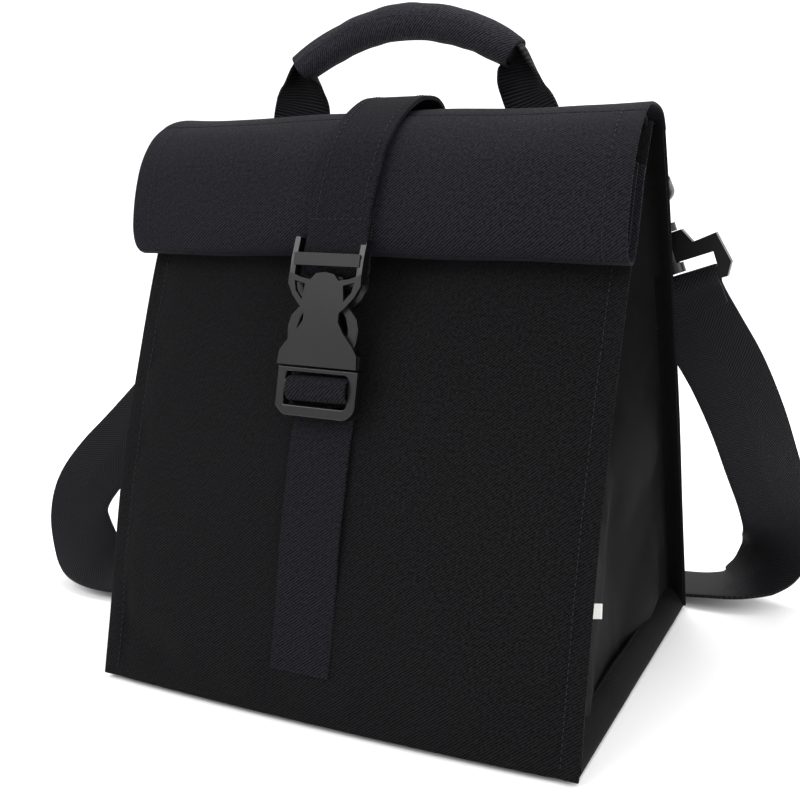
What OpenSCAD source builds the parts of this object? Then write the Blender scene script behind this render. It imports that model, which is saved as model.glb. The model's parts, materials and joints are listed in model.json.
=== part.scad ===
// Roll-top insulated cooler bag.
// +X is the bag's right, -Y its front, +Z up. The origin is the middle of the base, on the floor.

/* [Bag body] */
// Width over the side flanges
bag_w = 240; // [225:1:260]
// Depth at the base
bag_d = 196; // [186:1:206]
// Height at which the outer panels end and the collar starts
neck_z = 258; // [256:1:260]
// How far a side flange stands out from the gusset
flange = 9; // [7:0.5:11]
// Thickness of the outer fabric
fabric_t = 1.2; // [0.8:0.1:1.4]
// Thickness of the foam insulation
foam_t = 6; // [4:0.5:7]
// Height of the insulated walls
foam_top = 198; // [180:1:205]
// Thickness of the welded liner
liner_t = 0.8; // [0.6:0.1:1]
// Thickness of the base board
board_t = 2.2; // [1.5:0.1:2.3]
// Depth of the gusset's centre crease at the neck
crease_top = 50; // [30:1:56]

/* [Closure strap and buckle] */
// Width of the closure strap and of the lower strap
strap_w = 30; // [25:1:31]
// Where the straps lie across the bag
strap_x = -8; // [-10:1:10]
// Thickness of the folded fabric strap
strap_t = 2.4; // [1.5:0.1:2.6]
// Width of the buckle
buckle_w = 40; // [39:1:42]
// Thickness of the buckle
buckle_t = 9; // [8:0.5:9]
// How far the buckle leans out from upright
buckle_tilt = 13; // [12:0.5:14]

/* [Carry handle] */
// Distance between the middles of the two handle legs
handle_span = 126; // [110:2:130]
// Where the handle's middle lies across the bag
handle_x = -9.5; // [-10:0.5:0]
// Width of the handle webbing
handle_w = 30; // [25:1:32]
// Outside diameter of the padded grip
grip_d = 15; // [13:0.5:16]
// Height of the grip's middle line at its crown
grip_crown_z = 310; // [304:1:312]
// Radius of the grip's arch
grip_r = 102; // [95:1:120]

/* [Shoulder strap and hooks] */
// Width of the shoulder webbing
webbing_w = 38; // [36:1:38]
// Thickness of the shoulder webbing
webbing_t = 2; // [1.5:0.1:2]
// Diameter of the ring's wire
ring_wire = 4; // [3.5:0.1:4]
// Radius of the ring's round end, at the middle of the wire
ring_r = 14; // [13.5:0.5:14.5]
// Where the rings hang, out from the middle
ring_x = 103.6; // [103:0.1:104]
// How far the hooks lean out
hook_lean = 18.7; // [15:0.1:20]

/* [Hidden] */
$fn = 48;

gap = 0.3;
half_w = bag_w / 2;
half_d = bag_d / 2;
side_x = half_w - flange;
board_z = fabric_t + gap;
foam_z = board_z + board_t + gap;
liner_z = foam_z + foam_t + gap;
wall_in = fabric_t + gap;
foam_in = wall_in + foam_t;
front_neck_y = -14;
back_neck_y = 9;
front_bow = 13.4;
back_bow = 4.85;

// Outer faces of the front and back panels at a height
function share(z) = z / neck_z;
function front_y(z) = -half_d + (half_d + front_neck_y) * share(z) - 4 * front_bow * share(z) * (1 - share(z));
function back_y(z) = half_d - (half_d - back_neck_y) * share(z) + 4 * back_bow * share(z) * (1 - share(z));
function middle_y(z) = (front_y(z) + back_y(z)) / 2;
function crease(z) = 4 + (crease_top - 4) * pow(share(z), 1.5);
function heights(low, high, n) = [for (i = [0 : n]) low + (high - low) * i / n];

// Outlines in the Y-Z plane: a wall between two depths behind the panel's face, and a ribbon on a middle line
function front_wall(zs, a, b) = concat([for (z = zs) [front_y(z) + a, z]],
                                       [for (i = [len(zs) - 1 : -1 : 0]) [front_y(zs[i]) + b, zs[i]]]);
function back_wall(zs, a, b) = concat([for (z = zs) [back_y(z) - a, z]],
                                      [for (i = [len(zs) - 1 : -1 : 0]) [back_y(zs[i]) - b, zs[i]]]);
function unit(v) = v / norm(v);
function along(p, i) = unit(p[min(i + 1, len(p) - 1)] - p[max(i - 1, 0)]);
function beside(p, i, d) = p[i] + d * [-along(p, i)[1], along(p, i)[0]];
function ribbon(p, t) = concat([for (i = [0 : len(p) - 1]) beside(p, i, t / 2)],
                               [for (i = [len(p) - 1 : -1 : 0]) beside(p, i, -t / 2)]);
// A smooth line through the points, each stretch cut in n
function bend(a, b, c, d, t) = 0.5 * ((2 * b) + (c - a) * t + (2 * a - 5 * b + 4 * c - d) * t * t
                                      + (3 * b - a - 3 * c + d) * t * t * t);
function smooth(p, n) = concat([for (i = [0 : len(p) - 2]) for (k = [0 : n - 1])
    bend(p[max(i - 1, 0)], p[i], p[i + 1], p[min(i + 2, len(p) - 1)], k / n)], [p[len(p) - 1]]);
function flat(rows) = [for (r = rows) for (p = r) p];

module along_x(length, x = 0)
    translate([x, 0, 0]) rotate([90, 0, 90]) translate([0, 0, -length / 2]) linear_extrude(length) children();

module both_sides(side) mirror([side < 0 ? 1 : 0, 0, 0]) children();

// The rows of a right-hand grid, or their mirror image in the same turn
function handed(rows, side) = side > 0 ? rows
    : [for (r = rows) [for (i = [len(r) - 1 : -1 : 0]) [-r[i][0], r[i][1], r[i][2]]]];

// A closed sheet between two grids of points, the first on its outer face
module sheet(outer, inner) {
    m = len(outer);
    n = len(outer[0]);
    k = m * n;
    polyhedron(points = concat(flat(outer), flat(inner)), convexity = 6, faces = concat(
        [for (i = [0 : m - 2]) for (j = [0 : n - 2]) each [
            [i * n + j, i * n + j + 1, (i + 1) * n + j + 1], [i * n + j, (i + 1) * n + j + 1, (i + 1) * n + j],
            [k + i * n + j, k + (i + 1) * n + j + 1, k + i * n + j + 1],
            [k + i * n + j, k + (i + 1) * n + j, k + (i + 1) * n + j + 1]]],
        [for (i = [0 : m - 2]) each [
            [i * n, (i + 1) * n, k + (i + 1) * n], [i * n, k + (i + 1) * n, k + i * n],
            [(i + 1) * n - 1, k + (i + 2) * n - 1, (i + 2) * n - 1],
            [(i + 1) * n - 1, k + (i + 1) * n - 1, k + (i + 2) * n - 1]]],
        [for (j = [0 : n - 2]) each [
            [j, k + j, k + j + 1], [j, k + j + 1, j + 1],
            [k - n + j, 2 * k - n + j + 1, 2 * k - n + j], [k - n + j, k - n + j + 1, 2 * k - n + j + 1]]]));
}

// A solid through level rings of points
module loft(rings) {
    m = len(rings);
    n = len(rings[0]);
    polyhedron(points = flat(rings), convexity = 6, faces = concat(
        [[for (j = [0 : n - 1]) j]], [[for (j = [n - 1 : -1 : 0]) (m - 1) * n + j]],
        [for (i = [0 : m - 2]) for (j = [0 : n - 1]) each [
            [i * n + j, (i + 1) * n + j, (i + 1) * n + (j + 1) % n],
            [i * n + j, (i + 1) * n + (j + 1) % n, i * n + (j + 1) % n]]]));
}

// ---- body ----
wall_zs = heights(0, neck_z, 16);
foam_zs = heights(liner_z + 0.5, foam_top, 20);

module front_panel() color("#1d1d22") along_x(bag_w) polygon(front_wall(wall_zs, 0, fabric_t));
module back_panel() color("#1b1b20") along_x(bag_w) polygon(back_wall(wall_zs, 0, fabric_t));
module bottom_panel() color("#17171b") {
    depth = 2 * (half_d - fabric_t - 0.6);
    translate([-half_w + 1, -depth / 2, 0]) cube([bag_w - 2, depth, fabric_t]);
}
module base_board() color("#3a3a3d") {
    depth = bag_d - 18;
    translate([-side_x + 7, -depth / 2, board_z]) cube([2 * side_x - 14, depth, board_t]);
}
module foam_bottom() color("#c9ccd0") {
    depth = bag_d - 22;
    translate([-side_x + 7, -depth / 2, foam_z]) cube([2 * side_x - 14, depth, foam_t]);
}
module foam_front() color("#c9ccd0") along_x(2 * side_x - 22) polygon(front_wall(foam_zs, wall_in, foam_in));
module foam_back() color("#c9ccd0") along_x(2 * side_x - 22) polygon(back_wall(foam_zs, wall_in, foam_in));

gusset_t = 0.9;
function slant(z) = crease(z) / (middle_y(z) - front_y(z));
function skew(z) = sqrt(1 + slant(z) * slant(z));
// The row's flange lies against the panel's inside; d is the depth into the gusset's cloth
function gusset_row(z, d) = let (f = front_y(z) + wall_in + gusset_t - d, b = back_y(z) - wall_in - gusset_t + d) [
    [half_w - 1, f, z], [side_x - d * skew(z), f, z], [side_x - crease(z) - d * skew(z), middle_y(z), z],
    [side_x - d * skew(z), b, z], [half_w - 1, b, z]];
gusset_zs = heights(2, neck_z - 1, 18);
module gusset(side)
    sheet(handed([for (z = gusset_zs) gusset_row(z, 0)], side),
          handed([for (z = gusset_zs) gusset_row(z, gusset_t)], side));
module gusset_left() color("#161619") gusset(-1);
module gusset_right() color("#161619") gusset(1);

foam_out_x = side_x - gusset_t - 1;
function fold_in(z) = crease(z) * (foam_in + 1.5) / (middle_y(z) - front_y(z));
function foam_row(z, d) = [
    [foam_out_x - fold_in(z) - d, front_y(z) + foam_in + 1.5, z],
    [foam_out_x - 0.6 - crease(z) - d, middle_y(z), z],
    [foam_out_x - fold_in(z) - d, back_y(z) - foam_in - 1.5, z]];
module foam_side(side)
    sheet(handed([for (z = foam_zs) foam_row(z, 0)], side), handed([for (z = foam_zs) foam_row(z, foam_t)], side));
module foam_left() color("#c9ccd0") foam_side(-1);
module foam_right() color("#c9ccd0") foam_side(1);

liner_x = foam_out_x - foam_t - 1.2;
function liner_ring(z, d) = let (f = front_y(z) + foam_in + 0.8 + d, b = back_y(z) - foam_in - 0.8 - d,
                                 x = liner_x - fold_in(z) - d * (slant(z) + skew(z)),
                                 c = liner_x - 0.4 - crease(z) - d * skew(z)) [
    [-x, f, z], [x, f, z], [c, middle_y(z), z], [x, b, z], [-x, b, z], [-c, middle_y(z), z]];
// One cup: up the outside, over the rim and down the inside to the floor
module liner() color("#b9bdc2")
    loft(concat([for (z = heights(liner_z, foam_top + 3, 20)) liner_ring(z, 0)],
                [for (z = heights(foam_top + 3, liner_z + liner_t, 20)) liner_ring(z, liner_t)]));

// ---- rolled top: back layer outside, front layer inside it ----
collar_back_line = smooth([[10, 258.6], [7, 263], [0, 265.2], [-10, 265.8], [-20, 265], [-29.6, 262]], 3);
roll_face_line = smooth([[-30.6, 261.5], [-40, 256], [-49, 244.5], [-55, 230], [-58, 216], [-57.5, 208],
                         [-55.2, 204]], 3);
lip_back_line = smooth([[-54, 202.8], [-50, 201.4], [-46.5, 202.2], [-43.5, 206.5], [-40, 217], [-36, 229],
                        [-32, 240]], 3);
collar_front_line = smooth([[-15, 258.9], [-21, 260.5], [-29, 257.5], [-35.6, 253]], 3);
front_face_line = smooth([[-36.2, 252.3], [-44.5, 242], [-50.5, 228], [-53.5, 216], [-53.5, 210],
                          [-52, 207.4]], 3);
lip_front_line = smooth([[-51, 206.4], [-49, 205.8], [-46.8, 207.4], [-45, 212], [-42.5, 221], [-39, 232],
                         [-36, 241]], 3);
hook_tape_line = [[-39.8, 222], [-37.8, 228], [-35.2, 236]];
loop_tape_line = [[-41, 222], [-39, 228], [-36.4, 236]];
tape_t = 0.9;
layer_t = 1;

module collar_back() color("#222228") along_x(bag_w + 4) polygon(ribbon(collar_back_line, fabric_t));
module roll_face() color("#222228") along_x(bag_w + 4) polygon(ribbon(roll_face_line, fabric_t));
module lip_back() color("#1d1d22") along_x(bag_w + 2) polygon(ribbon(lip_back_line, layer_t));
module collar_front() color("#1d1d22") along_x(bag_w) polygon(ribbon(collar_front_line, layer_t));
module front_face() color("#1d1d22") along_x(bag_w) polygon(ribbon(front_face_line, layer_t));
module lip_front() color("#1d1d22") along_x(bag_w) polygon(ribbon(lip_front_line, layer_t));
module hook_tape() color("#0f0f11") along_x(bag_w - 50) polygon(ribbon(hook_tape_line, tape_t));
module loop_tape() color("#101013") along_x(bag_w - 50) polygon(ribbon(loop_tape_line, tape_t));

// ---- closure strap ----
strap_line = smooth([[19.6, 239], [15, 250], [12, 258], [8, 266], [1, 271.8], [-8, 273.5], [-18, 272.4],
                     [-29, 268], [-40, 260.8], [-49.5, 251], [-56, 239], [-60.6, 226], [-62.6, 214],
                     [-63.6, 205], [-63.8, 195]], 2);
anchor_zs = heights(190, 237, 4);
module strap_anchor() color("#1d1d22") along_x(strap_w, strap_x) polygon(back_wall(anchor_zs, -gap, -gap - 1.6));
module closure_strap() color("#222228") along_x(strap_w, strap_x) polygon(ribbon(strap_line, strap_t));

// ---- buckle: local Z runs up along it from the middle of its strap bar, local -Y faces forward ----
buckle_y = -63.5;
buckle_z = 200.5;
buckle_lean = 1;
plate_t = 2;
half_t = buckle_t / 2;
core_t = half_t - plate_t - gap;
half_b = buckle_w / 2;
plate_end = -47;
male_top = -47.4;
male_end = -69.5;
cross_top = -53.5;
cross_end = -58.5;
low_bar = -64.5;
male_t = 2.8;
slot_x = strap_w / 2 + 0.8;
module on_buckle()
    translate([strap_x, buckle_y, buckle_z]) rotate([-buckle_tilt, 0, 0]) rotate([0, buckle_lean, 0]) children();
// An outline in local X-Z, given thickness from y = a to y = b
module in_face(a, b) translate([0, b, 0]) rotate([90, 0, 0]) linear_extrude(b - a) children();

plate_half = [[0, -5.5], [4.5, -6.2], [7, -9], [12, -8.2], [18, -6], [18.2, -11], [15.5, -16], [12, -20],
              [8.8, -23], [8.8, -27], [12, -32], [17, -37.5], [19.4, -41], [half_b, plate_end], [0, plate_end]];
module plate_outline() {
    polygon(plate_half);
    mirror([1, 0]) polygon(plate_half);
}
module side_window() polygon([[9.5, -11], [15, -9.6], [14, -14], [10.5, -18]]);
module buckle_female() color("#26262a") on_buckle() {
    for (a = [-half_t, half_t - plate_t]) in_face(a, a + plate_t) difference() {
        plate_outline();
        side_window();
        mirror([1, 0]) side_window();
    }
    in_face(-half_t + plate_t, half_t - plate_t) polygon([[-8.5, -12], [8.5, -12], [8, -9], [-8, -9]]);
    for (s = [-1, 1]) {
        translate([s * 16.7 - 1.3, 0, 0]) rotate([90, 0, 90]) linear_extrude(2.6)
            polygon([[-half_t, -10], [-half_t + 0.6, 0], [-half_t + 2.5, 10], [half_t - 2, 10], [1, 0], [0.5, -10]]);
        translate([s * (half_b - 1) - 1, -half_t + plate_t, plate_end]) cube([2, buckle_t - 2 * plate_t, 6]);
    }
    translate([-16.5, -half_t, -2.8]) cube([33, 2.3, 5.6]);
}
module buckle_male() color("#242428") on_buckle() in_face(-male_t, male_t) difference() {
    polygon([[-half_b, male_top], [half_b, male_top], [half_b, male_end + 4], [half_b - 4, male_end],
             [-half_b + 4, male_end], [-half_b, male_end + 4]]);
    translate([-slot_x, cross_top]) square([2 * slot_x, male_top - 2.6 - cross_top]);
    translate([-slot_x, low_bar]) square([2 * slot_x, cross_end - low_bar]);
}
arm_outline = [[10, -47.1], [14, -47.1], [15.5, -40], [17.3, -35.5], [17.8, -30], [16.5, -25], [13.5, -21.5],
               [10.5, -19], [9, -14.5], [6.5, -14], [6, -17], [7.5, -21], [11, -25], [12.5, -30], [12, -36],
               [10.2, -41]];
module buckle_arm(side) on_buckle() both_sides(side) in_face(-core_t, core_t) polygon(arm_outline);
module buckle_arm_left() color("#242428") buckle_arm(-1);
module buckle_arm_right() color("#242428") buckle_arm(1);

// ---- lower strap: sewn to the front, up round the crossbar, and down as the free tail ----
lower_line = smooth([[-86.2, 75], [-80, 100], [-74.6, 118], [-71.6, 129], [-70.9, 138], [-70.9, 146],
                     [-72.5, 149.6], [-76, 150.2], [-79.8, 149.6], [-81.5, 146.5], [-81.6, 143.6], [-80.2, 141.2],
                     [-77.5, 140.5], [-74.4, 138.4], [-73.8, 133], [-75.6, 127], [-79.2, 117], [-84, 100],
                     [-89.5, 80], [-95.5, 50], [-101, 27], [-102, 22]], 2);
lower_t = 1.4;
module lower_strap() color("#1d1d22") along_x(strap_w, strap_x - 0.5) polygon(ribbon(lower_line, lower_t));

// ---- carry handle ----
handle_y = 14.2;
handle_z = 249;
leg_t = 2.2;
grip_z = grip_crown_z - grip_r;
grip_half = handle_span / 2 - 5;
grip_angle = asin(grip_half / grip_r);
grip_end_z = grip_z + grip_r * cos(grip_angle);
anchor_leg_zs = heights(204, 246, 4);
module handle_anchor(side) color("#18181b") along_x(handle_w, handle_x + side * handle_span / 2)
    polygon(back_wall(anchor_leg_zs, -gap, -gap - leg_t));
module handle_anchor_left() handle_anchor(-1);
module handle_anchor_right() handle_anchor(1);
module handle_webbing() color("#18181b") translate([handle_x, handle_y, 0]) for (s = [-1, 1])
    in_face(-leg_t / 2, leg_t / 2) polygon([
        [s * (handle_span / 2 - handle_w / 2), handle_z + 1.5], [s * (handle_span / 2 + handle_w / 2), handle_z + 1.5],
        [s * (handle_span / 2 + handle_w / 2 - 1), handle_z + 18], [s * (grip_half + 4), grip_end_z - 2],
        [s * (grip_half - 6), grip_end_z - 8]]);
module grip_tube(r_out, r_in) translate([handle_x, handle_y, grip_z]) rotate([90, 0, 0])
    rotate([0, 0, 90 - grip_angle]) rotate_extrude(angle = 2 * grip_angle) translate([grip_r, 0]) difference() {
        circle(r_out);
        if (r_in > 0) circle(r_in);
    }
module handle_grip() color("#232329") grip_tube(grip_d / 2, grip_d / 2 - 1.8);
module handle_core() color("#1b1b1e") grip_tube(grip_d / 2 - 2, 0);

// ---- rings, hooks and their eyes ----
bar_y = 24;
bar_z = 233.4;
ring_side = 9.8;
ring_tilt = 62.7;
wire_r = ring_wire / 2;
tab_w = 20;
tab_r = 4.2;
module ring_tab(side) color("#18181b") both_sides(side) {
    along_x(tab_w, ring_x) difference() {
        union() {
            translate([bar_y, bar_z]) circle(tab_r);
            polygon([[back_y(250) + 0.4, 250], [back_y(241) + 0.4, 241], [bar_y - 3, bar_z + 1.5],
                     [bar_y + 1, bar_z + 3], [back_y(242) + 2.6, 242], [back_y(250) + 2.4, 250]]);
        }
        translate([bar_y, bar_z]) circle(wire_r + gap);
    }
}
module ring_tab_left() ring_tab(-1);
module ring_tab_right() ring_tab(1);
module ring(side) color("#2b2b2f") both_sides(side) translate([ring_x, bar_y, bar_z]) rotate([ring_tilt, 0, 0]) {
    translate([-ring_r, 0, 0]) rotate([0, 90, 0]) cylinder(r = wire_r, h = 2 * ring_r);
    for (s = [-1, 1]) translate([s * ring_r, 0, 0]) {
        sphere(wire_r);
        translate([0, 0, -ring_side]) cylinder(r = wire_r, h = ring_side);
    }
    translate([0, 0, -ring_side]) rotate([90, 0, 0]) rotate([0, 0, 180]) rotate_extrude(angle = 180)
        translate([ring_r, 0]) circle(wire_r);
}
module ring_left() ring(-1);
module ring_right() ring(1);

// Hooks and eyes: local Z is the swivel axis, with its zero on the eye's top bar
hook_x = 116.7;
hook_y = 44.5;
hook_z = 197.4;
post_r = 3;
boss_z = 10.5;
catch_z = 26.8;
catch_r = 5.5;
catch_t = 4.2;
module on_hook(side) both_sides(side) translate([hook_x, hook_y, hook_z]) rotate([0, -hook_lean, 0]) children();
module hook(side) color("#242427") on_hook(side) {
    translate([0, 0, -4.4]) cylinder(r = post_r, h = boss_z + 8);
    translate([0, 0, -9]) cylinder(r = 4.8, h = 4.7);
    translate([0, 0, boss_z + 0.3]) cylinder(r = 6.2, h = 4);
    translate([-3, 0, 0]) rotate([90, 0, 90]) linear_extrude(6) difference() {
        union() {
            translate([0, catch_z]) circle(catch_r + catch_t);
            polygon([[-5, boss_z + 3], [5, boss_z + 3], [8.4, catch_z - 5], [-8.4, catch_z - 5]]);
        }
        translate([0, catch_z]) circle(catch_r);
        polygon([[1.5, catch_z - 3.2], [14, catch_z - 6.2], [14, catch_z + 6], [2.4, catch_z + 6]]);
    }
}
module hook_left() hook(-1);
module hook_right() hook(1);
gate_y = 7.6;
gate_z = catch_z - 8;
module gate(side) color("#3a3a3e") on_hook(side) translate([-2.4, 0, 0]) rotate([90, 0, 90]) linear_extrude(4.8)
    polygon([[gate_y - 1.4, gate_z + 4.2], [gate_y + 1.6, gate_z + 3.5], [gate_y + 0.2, catch_z + 5.6],
             [gate_y - 2.6, catch_z + 5.6]]);
module gate_left() gate(-1);
module gate_right() gate(1);

eye_t = 5;
window_x = webbing_w / 2 + 0.8;
eye_low = -17;
module eye(side) color("#28282c") on_hook(side) difference() {
    in_face(-eye_t / 2, eye_t / 2) difference() {
        polygon([[-window_x - 3.5, 4.2], [-12, 3.2], [-8.5, boss_z], [8.5, boss_z], [12, 3.2], [window_x + 3.5, 4.2],
                 [window_x + 6.5, -11], [window_x + 3, eye_low], [-window_x - 3, eye_low], [-window_x - 6.5, -11]]);
        translate([-window_x, eye_low + 5]) square([2 * window_x, -4 - eye_low - 5]);
    }
    translate([0, 0, -5]) cylinder(r = post_r + 0.2, h = 20);
}
module eye_left() eye(-1);
module eye_right() eye(1);

// ---- shoulder strap: [x, y, z, how far its face has turned up from facing forward] ----
strap_route = [[123.2, 46.8, 177.6, -1.2], [126, 50.2, 171, -1.1], [132.5, 56, 158, -0.7], [142, 66, 138, -0.3],
               [150.5, 80.5, 112, 0], [156, 97, 87, 0.03], [161, 115, 62, 0.12], [163, 129, 40, 0.3],
               [159, 134, 22, 0.55], [151, 129, 12, 0.8], [141, 122.5, 8, 0.95], [128, 120.5, 6, 1],
               [112, 121, 4.2, 1], [90, 121.5, 3.4, 1], [60, 122, 3.4, 1], [0, 122, 3.4, 1], [-60, 122, 3.4, 1],
               [-90, 122, 3.4, 1], [-118, 120, 3.4, 1], [-139, 107, 3.4, 1], [-151, 86, 3.4, 1],
               [-155, 60, 3.4, 1], [-153, 38, 3.4, 1], [-156, 17, 3.6, 1], [-166, 3, 3.6, 1], [-182, -4, 3.8, 1],
               [-199, -5, 5.5, 0.95], [-214, -2, 12, 0.7], [-226, 4, 22, 0.4], [-233, 9, 35, 0.15],
               [-232, 14, 49, 0], [-222, 20, 65, 0], [-206, 28, 83, 0], [-187, 35, 104, 0],
               [-165, 42.5, 129, 0], [-144.5, 47.5, 151, 0], [-128.5, 49.8, 169.5, 0],
               [-123.2, 46.8, 177.8, 0]];
facing = unit([0.2, -0.96, 0.2]);
route = smooth(strap_route, 2);
function place(i) = [route[i][0], route[i][1], route[i][2]];
function heading(i) = unit(place(min(i + 1, len(route) - 1)) - place(max(i - 1, 0)));
function face_dir(i) = unit((1 - route[i][3]) * facing + route[i][3] * [0, 0, 1]);
function across(i) = unit(cross(heading(i), face_dir(i)));
function proud(i) = unit(cross(across(i), heading(i)));
function section(i) = let (c = place(i), a = across(i) * webbing_w / 2, n = proud(i) * webbing_t / 2)
    [c - a - n, c + a - n, c + a + n, c - a + n];
module shoulder_strap() color("#141416") loft([for (i = [0 : len(route) - 1]) section(i)]);

slider_x = 30;
slider_w = 22;
slider_y = 122;
slider_z = 3.4;
module strap_slider() color("#28282c") translate([slider_x, slider_y, slider_z]) difference() {
    translate([-slider_w / 2, -webbing_w / 2 - 5, -3.2]) cube([slider_w, webbing_w + 10, 6.4]);
    translate([-slider_w / 2 - 1, -webbing_w / 2 - 0.6, -1.5]) cube([slider_w + 2, webbing_w + 1.2, 3]);
}

label_z = 62;
module care_label() color("#f2f2f0") translate([side_x + 1.2, front_y(label_z) + 4.4, label_z - 4])
    rotate([0, 0, 10]) cube([9.5, 0.5, 8]);

front_panel();
back_panel();
bottom_panel();
gusset_left();
gusset_right();
foam_front();
foam_back();
foam_bottom();
foam_left();
foam_right();
base_board();
liner();
collar_back();
roll_face();
lip_back();
collar_front();
front_face();
lip_front();
hook_tape();
loop_tape();
strap_anchor();
closure_strap();
buckle_female();
buckle_male();
buckle_arm_left();
buckle_arm_right();
lower_strap();
handle_anchor_left();
handle_anchor_right();
handle_webbing();
handle_grip();
handle_core();
ring_tab_left();
ring_tab_right();
ring_left();
ring_right();
hook_left();
hook_right();
gate_left();
gate_right();
eye_left();
eye_right();
shoulder_strap();
strap_slider();
care_label();
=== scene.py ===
# %% [markdown]
# A roll-top cooler bag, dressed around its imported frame.
# The frame holds the sizes and the moving bodies, in metres. Everything below adds cloth, webbing,
# thread and moulded plastic in the same place, so a piece needs no fitting afterwards.

# %% Load the frame and set the units
import json
import math
import bmesh
import bpy
import numpy as np
from mathutils import Matrix, Vector, noise

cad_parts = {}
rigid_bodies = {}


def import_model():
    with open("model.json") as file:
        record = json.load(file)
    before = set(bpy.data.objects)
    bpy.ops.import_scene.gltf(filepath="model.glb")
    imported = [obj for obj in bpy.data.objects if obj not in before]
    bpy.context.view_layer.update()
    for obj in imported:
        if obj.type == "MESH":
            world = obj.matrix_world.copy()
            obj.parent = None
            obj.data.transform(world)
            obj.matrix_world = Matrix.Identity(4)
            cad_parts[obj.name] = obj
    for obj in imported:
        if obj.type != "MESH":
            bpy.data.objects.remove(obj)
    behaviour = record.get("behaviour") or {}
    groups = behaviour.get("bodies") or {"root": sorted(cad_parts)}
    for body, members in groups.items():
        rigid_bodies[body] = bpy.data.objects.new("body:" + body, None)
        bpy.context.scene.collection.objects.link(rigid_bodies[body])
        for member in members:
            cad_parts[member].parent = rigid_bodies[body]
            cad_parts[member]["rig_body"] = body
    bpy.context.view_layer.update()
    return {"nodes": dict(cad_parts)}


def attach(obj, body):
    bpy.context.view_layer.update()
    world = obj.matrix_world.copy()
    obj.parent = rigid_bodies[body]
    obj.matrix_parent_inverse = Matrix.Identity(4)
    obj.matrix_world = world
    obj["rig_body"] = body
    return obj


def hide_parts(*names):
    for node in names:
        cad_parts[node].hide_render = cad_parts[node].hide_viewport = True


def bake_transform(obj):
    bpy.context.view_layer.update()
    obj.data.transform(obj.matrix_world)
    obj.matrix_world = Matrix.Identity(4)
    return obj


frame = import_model()
nodes = frame["nodes"]
MM = 0.001


def mm(*numbers):
    """A point given in millimetres, as metres."""
    return Vector(numbers) * MM


print("nodes in the frame:", len(nodes))

# %% [markdown]
# The camera stands a little right of the bag and above it and looks slightly down, through a normal lens,
# so that the front, the right side and the top of the roll all show.

# %% Camera
YAW, PITCH, ROLL = (math.radians(angle) for angle in (26.28, -11.85, -0.83))
camera_data = bpy.data.cameras.new("camera")
camera = bpy.data.objects.new("camera", camera_data)
bpy.context.scene.collection.objects.link(camera)
bpy.context.scene.camera = camera
camera_data.sensor_width = 36
camera_data.lens = 49.34
camera_data.shift_x = -0.0006
camera_data.shift_y = 0.0029
forward = Vector((-math.sin(YAW) * math.cos(PITCH), math.cos(YAW) * math.cos(PITCH), math.sin(PITCH)))
right = forward.cross(Vector((0, 0, 1))).normalized()
up = right.cross(forward)
tilted_right = right * math.cos(ROLL) + up * math.sin(ROLL)
tilted_up = up * math.cos(ROLL) - right * math.sin(ROLL)
camera.matrix_world = Matrix.Translation(mm(232.9, -484.7, 238.2)) @ Matrix(
    (tilted_right, tilted_up, -forward)).transposed().to_4x4()
print("camera at", [round(value, 3) for value in camera.location])

# %% [markdown]
# Every finish starts from its real material. Two small helpers keep the node trees short: one turns a hex
# colour into linear light, the other adds a node with its settings and its links.


# %% Helpers for materials
def linear(hex_colour):
    """An sRGB hex colour as linear RGBA."""
    channels = [int(hex_colour[i:i + 2], 16) / 255 for i in (1, 3, 5)]
    return [c / 12.92 if c <= 0.04045 else ((c + 0.055) / 1.055) ** 2.4 for c in channels] + [1.0]


def add_node(tree, kind, settings=None, links=None):
    """Adds a node; settings name inputs or properties, links name inputs and the outputs that feed them."""
    node = tree.nodes.new(kind)
    for key, value in (settings or {}).items():
        if isinstance(key, int) or key in node.inputs:
            node.inputs[key].default_value = value
        else:
            setattr(node, key, value)
    for key, source in (links or {}).items():
        tree.links.new(source, node.inputs[key])
    return node


def new_material(name):
    """An empty material with its shader, and the tree to build on."""
    material = bpy.data.materials.new(name)
    material.use_nodes = True
    return material, material.node_tree, material.node_tree.nodes["Principled BSDF"]


def set_shader(shader, values):
    for key, value in values.items():
        shader.inputs[key].default_value = value


# %% [markdown]
# The bag is a polyester twill. A twill's threads step over by one each row, which draws fine diagonal ribs.
# Real ribs are usually about 0.5 mm apart; they are drawn 1.1 mm apart so that they show at this distance.
# The pattern reads each piece's own UV map, laid out in metres of cloth, so the ribs bend with the cloth.


# %% Twill
RIB_HEIGHT = 0.0004


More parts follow.
